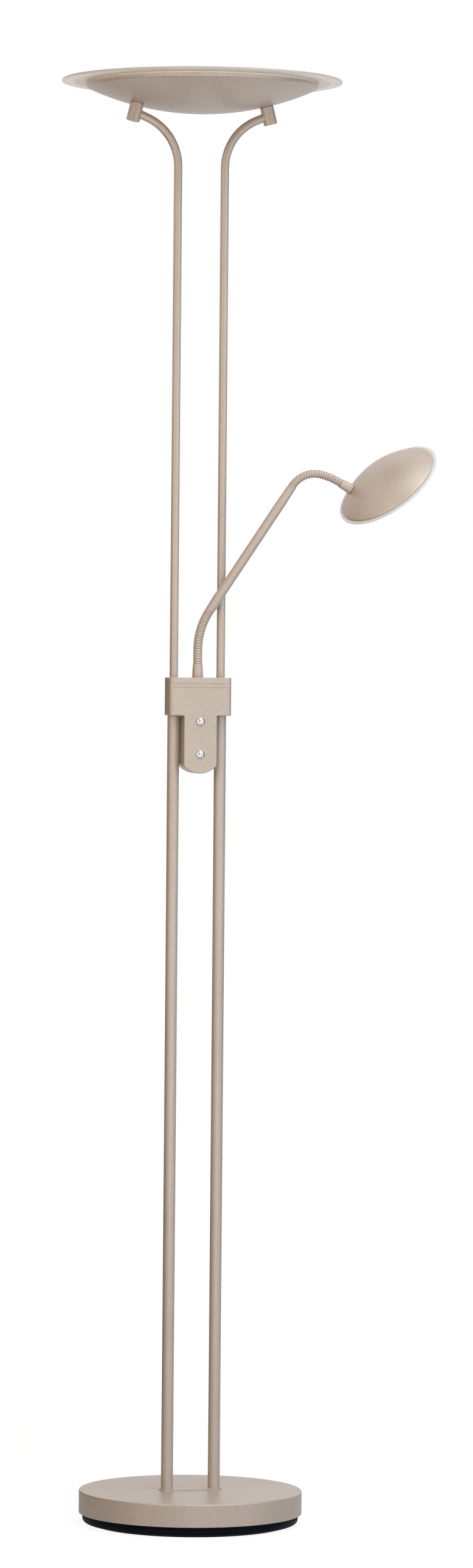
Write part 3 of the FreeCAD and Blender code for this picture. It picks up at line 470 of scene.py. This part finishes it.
# lower and upper: the radius over the ribs and the radius of the plain ends
hoseValues = {"ribs": 11, "depth": 1.0 * mm, "bore": 3 * mm, "spigot": 12 * mm, "roundness": 2.1,
              "stepsPerRib": 12, "lower": (5.8 * mm, 4.5 * mm), "upper": (5.1 * mm, 3.9 * mm)}


def hoseHalf(name, route, crest, spigotRadius, root, bodies):
    # half a hose with its ribs, from its middle to the plain end that sits in a fitting
    v = hoseValues
    pitch = route.length / (2 * v["ribs"])
    first = 0 if root else v["ribs"]
    begin, finish = first * pitch, (first + v["ribs"]) * pitch
    ribs = []
    for rib in range(first, first + v["ribs"]):
        for step in range(v["stepsPerRib"] + (rib == first + v["ribs"] - 1)):
            share = (1 - math.cos(math.pi * step / v["stepsPerRib"])) / 2
            swell = (1 - abs(2 * share - 1) ** v["roundness"]) ** (1 / v["roundness"])
            ribs.append(((rib + share) * pitch, crest - v["depth"] * (1 - swell)))
    if root:
        plain = [(-v["spigot"], v["bore"]), (-v["spigot"], spigotRadius), (0, spigotRadius)]
        outside = plain + ribs + [(finish, v["bore"])]
    else:
        end = finish + v["spigot"]
        plain = [(finish, spigotRadius), (end, spigotRadius), (end, v["bore"])]
        outside = [(begin, v["bore"])] + ribs + plain
    inside = [((first + rib) * pitch, v["bore"]) for rib in range(1, v["ribs"])]
    hose = sweptPiece(name, route, outside + inside[::-1], "champagne_coat")
    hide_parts(name.replace("Ribs", ""))
    route.at(begin)[0]
    route.at(finish)[0]
    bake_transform(hose)


hoseHalf("lower_hose_rootRibs", lowerRoute, *hoseValues["lower"], True, ("stand", "lower_neck"))
hoseHalf("lower_hose_tipRibs", lowerRoute, *hoseValues["lower"], False, ("lower_neck", "arm"))
hoseHalf("upper_hose_rootRibs", upperRoute, *hoseValues["upper"], True, ("arm", "upper_neck"))
hoseHalf("upper_hose_tipRibs", upperRoute, *hoseValues["upper"], False, ("upper_neck", "head"))
print("goosenecks made")


# Fittings of the arm: outlines turned about the line of the arm

def armFitting(name, node, body, origin, axis, corners):
    standFor(turnedPiece(name, corners, "champagne_coat", origin, axis, closed=True), node, body)


ferruleValues = {"foot": 6.9 * mm, "neck": 6.0 * mm, "hoseSocket": 4.55 * mm, "bore": 2.4 * mm,
                 "stud": 4 * mm, "studDepth": 11 * mm, "socket": 12 * mm, "rounding": 0.7 * mm,
                 "edge": 0.3 * mm}


def armFerrule():
    v = ferruleValues
    top = armValues["ferrule"]
    armFitting("armFerrule", "arm_base_ferrule", "stand", armRoot, up,
               [(v["bore"], -v["studDepth"]), (v["stud"], -v["studDepth"]), (v["stud"], 0),
                (v["foot"], 0, v["edge"]), (v["neck"], top, v["rounding"]), (v["hoseSocket"], top, v["edge"]),
                (v["hoseSocket"], top - v["socket"]), (v["bore"], top - v["socket"])])


sleeveValues = {"neck": 5.7 * mm, "mouth": 6.5 * mm, "shoulder": 3.5 * mm, "end": 5.9 * mm,
                "hoseSocket": 4.55 * mm, "spigot": 4.2 * mm, "spigotLength": 11 * mm, "bore": 2.4 * mm,
                "socket": 12 * mm, "rounding": 0.5 * mm, "edge": 0.2 * mm}


def armSleeve():
    v = sleeveValues
    length = armValues["sleeve"]
    armFitting("armSleeve", "arm_sleeve", "arm", lowerRoute.end, rodAxis,
               [(v["hoseSocket"], 0, v["edge"]), (v["neck"], 0, v["rounding"]),
                (v["mouth"], length - v["shoulder"], v["shoulder"]), (v["end"], length),
                (v["spigot"], length), (v["spigot"], length + v["spigotLength"]),
                (v["bore"], length + v["spigotLength"]), (v["bore"], v["socket"]),
                (v["hoseSocket"], v["socket"])])


rodValues = {"radius": 5.9 * mm, "tip": 5.2 * mm, "taper": 26 * mm, "socket": 4.25 * mm,
             "tipSocket": 3.95 * mm, "hoseDepth": 12 * mm, "taperRounding": 60 * mm,
             "rounding": 0.45 * mm, "edge": 0.2 * mm}


def armRod():
    v = rodValues
    length = armValues["rod"]
    shoulder = length - v["taper"]
    armFitting("armRod", "arm_rod", "arm", sleeveEnd, rodAxis,
               [(v["socket"], 0), (v["radius"], 0), (v["radius"], shoulder, v["taperRounding"]),
                (v["tip"], length, v["rounding"]), (v["tipSocket"], length, v["edge"]),
                (v["tipSocket"], length - v["hoseDepth"]), (v["socket"], shoulder - v["hoseDepth"])])


headFerruleValues = {"neck": 5.6 * mm, "foot": 6.5 * mm, "hoseSocket": 3.95 * mm, "bore": 2.4 * mm,
                     "stud": 4 * mm, "through": 21.2 * mm, "socket": 12 * mm, "gap": 0.1 * mm,
                     "rounding": 0.6 * mm, "footRounding": 1 * mm, "edge": 0.2 * mm}


def headFerrule():
    v = headFerruleValues
    length = armValues["headFerrule"] - v["gap"]
    armFitting("headFerrule", "head_ferrule", "head", upperRoute.end, headAxis,
               [(v["hoseSocket"], 0, v["edge"]), (v["neck"], 0, v["rounding"]),
                (v["foot"], length, v["footRounding"]), (v["stud"], length), (v["stud"], v["through"]),
                (v["bore"], v["through"]), (v["bore"], v["socket"]), (v["hoseSocket"], v["socket"])])


armFerrule()
armSleeve()
armRod()
headFerrule()
print("arm fittings made")


# Shades and glasses: a spun cap with a soft knee under its straight lip

def capOutline(radius, edge, low, kneeRadius):
    # up a sphere from its pole, then round the knee, whose circle touches sphere and lip from inside
    capSteps, kneeSteps = shapeValues["capSteps"], shapeValues["kneeSteps"]
    kneeX = edge - kneeRadius
    centre = Vector((0, low + radius))
    kneeY = centre.y - math.sqrt((radius - kneeRadius) ** 2 - kneeX ** 2)
    touch = (Vector((kneeX, kneeY)) - centre).normalized()
    lean = math.atan2(touch.x, -touch.y)
    points = []
    for step in range(capSteps + 1):
        angle = lean * step / capSteps
        points.append((radius * math.sin(angle), centre.y - radius * math.cos(angle)))
    for step in range(1, kneeSteps + 1):
        angle = lean + (math.pi / 2 - lean) * step / kneeSteps
        points.append((kneeX + kneeRadius * math.sin(angle), kneeY - kneeRadius * math.cos(angle)))
    return points


def capHeight(v, rim):
    return v["sphere"] - math.sqrt(v["sphere"] ** 2 - rim ** 2) + v["lip"]


def spunShade(name, node, body, v, rim, pole, axis):
    height = capHeight(v, rim)
    outer = capOutline(v["sphere"], rim, 0, v["knee"])
    inner = capOutline(v["sphere"] - v["wall"], rim - v["wall"], v["wall"], v["knee"] - v["wall"])
    lip = [(rim, height, v["lipRound"]), (rim - v["wall"], height, v["lipRound"])]
    standFor(turnedPiece(name, outer + lip + inner[::-1], "champagne_coat", pole, axis,
                         shapeValues["discAround"]), node, body)


def glassDisc(name, node, body, slot, origin, axis, radius, low, thickness, rounding):
    corners = [(0, low), (radius, low, rounding), (radius, low + thickness, rounding), (0, low + thickness)]
    glass = turnedPiece(name, corners, slot, origin, axis, shapeValues["discAround"],
                        crease=shapeValues["glassCrease"])
    standFor(glass, node, body)
    return glass


# the painted shade band on the glass's edge runs between two shares of the glass's thickness
dishValues = {"sphere": 345 * mm, "lip": 3.8 * mm, "wall": 1.2 * mm, "knee": 4.5 * mm, "lipRound": 0.5 * mm,
              "glassRounding": 1.2 * mm, "edgeShadeBand": (0.6, 0.98)}


def uplight():
    v = dishValues
    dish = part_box("uplight_dish")[1]
    pole = Vector((0, 0, dish.z - capHeight(v, dish.x)))
    spunShade("uplightDish", "uplight_dish", "stand", v, dish.x, pole, up)
    low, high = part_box("uplight_glass")
    thickness = high.z - low.z
    glass = glassDisc("uplightGlass", "uplight_glass", "stand", "frosted_glass", Vector((0, 0, low.z)), up,
                      high.x, 0, thickness, v["glassRounding"])
    glass.data.materials.append(glassEdge)
    bandStart, bandEnd = (share * thickness for share in v["edgeShadeBand"])
    # faces in the upper part of the edge take the band of painted shade
    for face in glass.data.polygons:
        face.material_index = int(bandStart < face.center.z - low.z < bandEnd)


shadeValues = {"sphere": 105 * mm, "rim": 66 * mm, "lip": 1.2 * mm, "wall": 1.2 * mm, "knee": 2.2 * mm,
               "lipRound": 0.4 * mm, "entry": 44 * mm, "glass": 70 * mm, "glassThickness": 1.8 * mm,
               "glassGap": 0.4 * mm, "glassRounding": 0.6 * mm}


def readingLight():
    v = shadeValues
    entryAngle = math.asin(v["entry"] / v["sphere"])
    tiltAxis = Quaternion(headAxis, math.radians(armValues["headTurnDegrees"])) @ upperSide
    axis = Quaternion(tiltAxis, entryAngle) @ headAxis
    pole = shadeEntry + headAxis * v["sphere"] - axis * v["sphere"]
    spunShade("readingShade", "reading_shade", "head", v, v["rim"], pole, axis)
    glassDisc("readingGlass", "reading_glass", "head", "opal_acrylic", pole, axis, v["glass"],
              capHeight(v, v["rim"]) + v["glassGap"], v["glassThickness"], v["glassRounding"])


uplight()
readingLight()
print("shades and glasses made")


# Buttons: a chrome dome in a thin rolled ring

buttonValues = {"radius": 5 * mm, "rise": 2.6 * mm, "collar": 0.5 * mm, "collarEdge": 0.25 * mm,
                "flange": 6.4 * mm, "flangeFront": 2.5 * mm, "flangeBack": 3.7 * mm,
                "stem": 1.6 * mm, "stemEnd": 8.3 * mm, "bore": 5.08 * mm,
                "ringRadius": 6.5 * mm, "ringRim": 0.6 * mm, "ringEdge": 0.25 * mm, "ringRounding": 0.5 * mm,
                "barrel": 5.9 * mm, "barrelEnd": 2.4 * mm, "domeSteps": 16, "around": 96,
                "fromTop": (55 * mm, 96 * mm)}


def pushButton(name, node, fromTop):
    v = buttonValues
    front = Vector((0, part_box("housing_front")[0].y, housingTop - fromTop))
    rear = Vector((0, 1, 0))
    rise = v["rise"] - v["collar"]
    sphere = (v["radius"] ** 2 + rise ** 2) / (2 * rise)
    dome = []
    for step in range(v["domeSteps"]):
        angle = math.asin(v["radius"] / sphere) * step / v["domeSteps"]
        dome.append((sphere * math.sin(angle), sphere - v["rise"] - sphere * math.cos(angle)))
    corners = dome + [(v["radius"], -v["collar"], v["collarEdge"]), (v["radius"], v["flangeFront"]),
                      (v["flange"], v["flangeFront"]), (v["flange"], v["flangeBack"]),
                      (v["stem"], v["flangeBack"]), (v["stem"], v["stemEnd"]), (0, v["stemEnd"])]
    standFor(turnedPiece(name + "Dome", corners, "chrome", front, rear, v["around"]), node, node)
    corners = [(v["bore"], -v["ringRim"], v["ringEdge"]), (v["ringRadius"], -v["ringRim"], v["ringRounding"]),
               (v["ringRadius"], 0), (v["barrel"], 0), (v["barrel"], v["barrelEnd"]),
               (v["bore"], v["barrelEnd"])]
    ring = turnedPiece(name + "Ring", corners, "champagne_coat", front, rear, v["around"], closed=True)
    standFor(ring, "button_bezels", "stand")


# each button's solid has the same name as its body
pushButton("upperButton", "upper_button", buttonValues["fromTop"][0])
pushButton("lowerButton", "lower_button", buttonValues["fromTop"][1])
print("buttons made")


# Floor, light and camera

# near the lamp the camera sees the painted floor with its shadow under a share of glow, and further
# off mostly glow; with either share the two together come to a white of 1
stageValues = {"floorRadius": 30.0, "floorColour": (0.55, 0.54, 0.53), "roughness": 0.9, "glow": 1.3,
               "cameraShare": 0.7, "glossShare": 0.3, "farShare": 0.75, "farEdge": 0.8, "farSoft": 0.4,
               "roomLight": 0.38, "roomColour": (1, 0.86, 0.86)}


def stageSheet(shader, middle, across, upward):
    # a flat sheet of the studio, given by its middle and by half of each side
    name = shader.material.name
    mesh = bpy.data.meshes.new(name)
    mesh.from_pydata([middle - across - upward, middle + across - upward, middle + across + upward,
                      middle - across + upward], [], [(0, 1, 2, 3)])
    mesh.materials.append(shader.material)
    sheet = bpy.data.objects.new(name, mesh)
    bpy.context.scene.collection.objects.link(sheet)
    return sheet


def paint(name, colour):
    return Shader(name, {"Base Color": (*colour, 1), "Roughness": stageValues["roughness"]})


def whiteFloor():
    v = stageValues
    shader = paint("paleFloor", v["floorColour"])
    painted = Flow(shader, shader.surface.outputs[0])
    glow = shader.add("ShaderNodeEmission", {}, {"Color": white, "Strength": v["glow"]})
    straight, glossy = shader.backgroundRays()
    reach = shader.add("ShaderNodeVectorMath", {"operation": "LENGTH"}, {0: shader.place()}, "Value")
    near = (straight * v["cameraShare"]).most(glossy * v["glossShare"])
    far = reach.over(v["farEdge"], v["farSoft"]) * v["farShare"] * straight.most(glossy)
    mixed = shader.add("ShaderNodeMixShader", {}, {0: near.most(far), 1: painted, 2: glow})
    shader.join(shader.tree.nodes["Material Output"].inputs["Surface"], mixed)
    stageSheet(shader, Vector(), Vector((v["floorRadius"], 0, 0)), Vector((0, v["floorRadius"], 0)))


def roomWorld():
    # a dim warm room lights the lamp, and only its background is white
    world = bpy.data.worlds.new("whiteRoom")
    world.use_nodes = True
    bpy.context.scene.world = world
    nodes = Nodes(world.node_tree)
    background = world.node_tree.nodes["Background"]
    nodes.join(background.inputs["Color"], (*stageValues["roomColour"], 1))
    nodes.join(background.inputs["Strength"], stageValues["roomLight"])
    lit = Flow(nodes, background.outputs[0])
    seen = nodes.add("ShaderNodeBackground", {}, {"Color": white, "Strength": 1.0})
    straight, glossy = nodes.backgroundRays()
    mixed = nodes.add("ShaderNodeMixShader", {}, {0: straight.most(glossy), 1: lit, 2: seen})
    nodes.join(world.node_tree.nodes["World Output"].inputs["Surface"], mixed)


cameraValues = {"azimuthDegrees": 13.5, "distance": 7.4286, "height": 1.0555, "rollDegrees": 0.492,
                "focalPixels": 9782, "imageSize": (777, 2576), "principal": (323.97, 1112.41), "sensor": 36.0,
                "clipEnd": 100}


def roundTheLamp(degrees, distance, height):
    # a place seen from above: 0 is towards the camera and positive is to its right
    angle = math.radians(degrees - cameraValues["azimuthDegrees"])
    return Vector((math.sin(angle), -math.cos(angle), 0)) * distance + up * height


# degrees, distance and height of the middle; width and height; watts; the height that it faces; colour
softboxes = {"keySoftbox": (-32, 2.1, 1.4, 0.85, 1.7, 10.4, 1.0, (1, 0.78, 0.48)),
             "rightFrontSoftbox": (18, 2.5, 1.25, 1.4, 1.6, 9.8, 1.0, (0.96, 0.99, 1)),
             "rightSoftbox": (60, 2.2, 1.3, 1.2, 2.0, 6.2, 1.0, (0.55, 0.80, 1)),
             "overheadSoftbox": (45, 1.2, 3.0, 1.8, 1.8, 27, 0.3, (0.83, 0.95, 1)),
             "lowSoftbox": (5, 2.0, 0.35, 1.0, 0.6, 5.6, 1.2, (0.70, 0.90, 1))}


def softbox(name, degrees, distance, height, width, tall, power, facing, colour):
    light = bpy.data.lights.new(name, "AREA")
    light.shape = "RECTANGLE"
    light.size, light.size_y = width, tall
    light.energy = power
    light.color = colour
    lamp = bpy.data.objects.new(name, light)
    lamp.location = roundTheLamp(degrees, distance, height)
    lamp.rotation_mode = "QUATERNION"
    lamp.rotation_quaternion = (up * facing - lamp.location).to_track_quat("-Z", "Y")
    bpy.context.scene.collection.objects.link(lamp)


# dark cards beside the lamp, as a studio has: they shade one side and give the metal an edge;
# degrees, distance and height of the middle; width and height; colour
darkCards = {"leftCard": (-99, 1.3, 0.72, 2.0, 1.42, (0.26, 0.195, 0.145)),
             "backLeftCard": (-156, 1.2, 1.02, 0.9, 0.3, (0.10, 0.08, 0.065)),
             "lowLeftCard": (-100, 0.55, 0.19, 1.2, 0.36, (0.05, 0.037, 0.027)),
             "rightCard": (105, 1.7, 1.25, 1.2, 2.5, (0.30, 0.31, 0.33)),
             "frontWall": (0, 9.5, 2.6, 15.0, 5.0, (0.10, 0.085, 0.08))}


def darkCard(name, degrees, distance, height, width, tall, colour):
    middle = roundTheLamp(degrees, distance, height)
    across = (middle - up * height).cross(up).normalized() * (width / 2)
    card = stageSheet(paint(name, colour), middle, across, up * (tall / 2))
    card.visible_camera = False
    card.visible_transmission = False


def photoCamera():
    v = cameraValues
    roll = math.radians(v["rollDegrees"])
    towards = roundTheLamp(0, 1, 0)
    across = up.cross(towards)
    data = bpy.data.cameras.new("photoCamera")
    camera = bpy.data.objects.new("photoCamera", data)
    bpy.context.scene.collection.objects.link(camera)
    columns = (across * math.cos(roll) + up * math.sin(roll), up * math.cos(roll) - across * math.sin(roll),
               towards)
    turn = Matrix(columns).transposed().to_4x4()
    camera.matrix_world = Matrix.Translation(towards * v["distance"] + up * v["height"]) @ turn
    wide, high = v["imageSize"]
    data.sensor_fit = "VERTICAL"
    data.sensor_height = v["sensor"]
    data.sensor_width = v["sensor"]
    data.lens = v["focalPixels"] / high * v["sensor"]
    data.shift_x = (wide / 2 - v["principal"][0]) / high
    data.shift_y = (v["principal"][1] - high / 2) / high
    data.clip_end = v["clipEnd"]
    bpy.context.scene.camera = camera


whiteFloor()
roomWorld()
for name, values in softboxes.items():
    softbox(name, *values)
for name, values in darkCards.items():
    darkCard(name, *values)
photoCamera()
bpy.context.scene.view_settings.view_transform = "Standard"
print("floor, light and camera set")
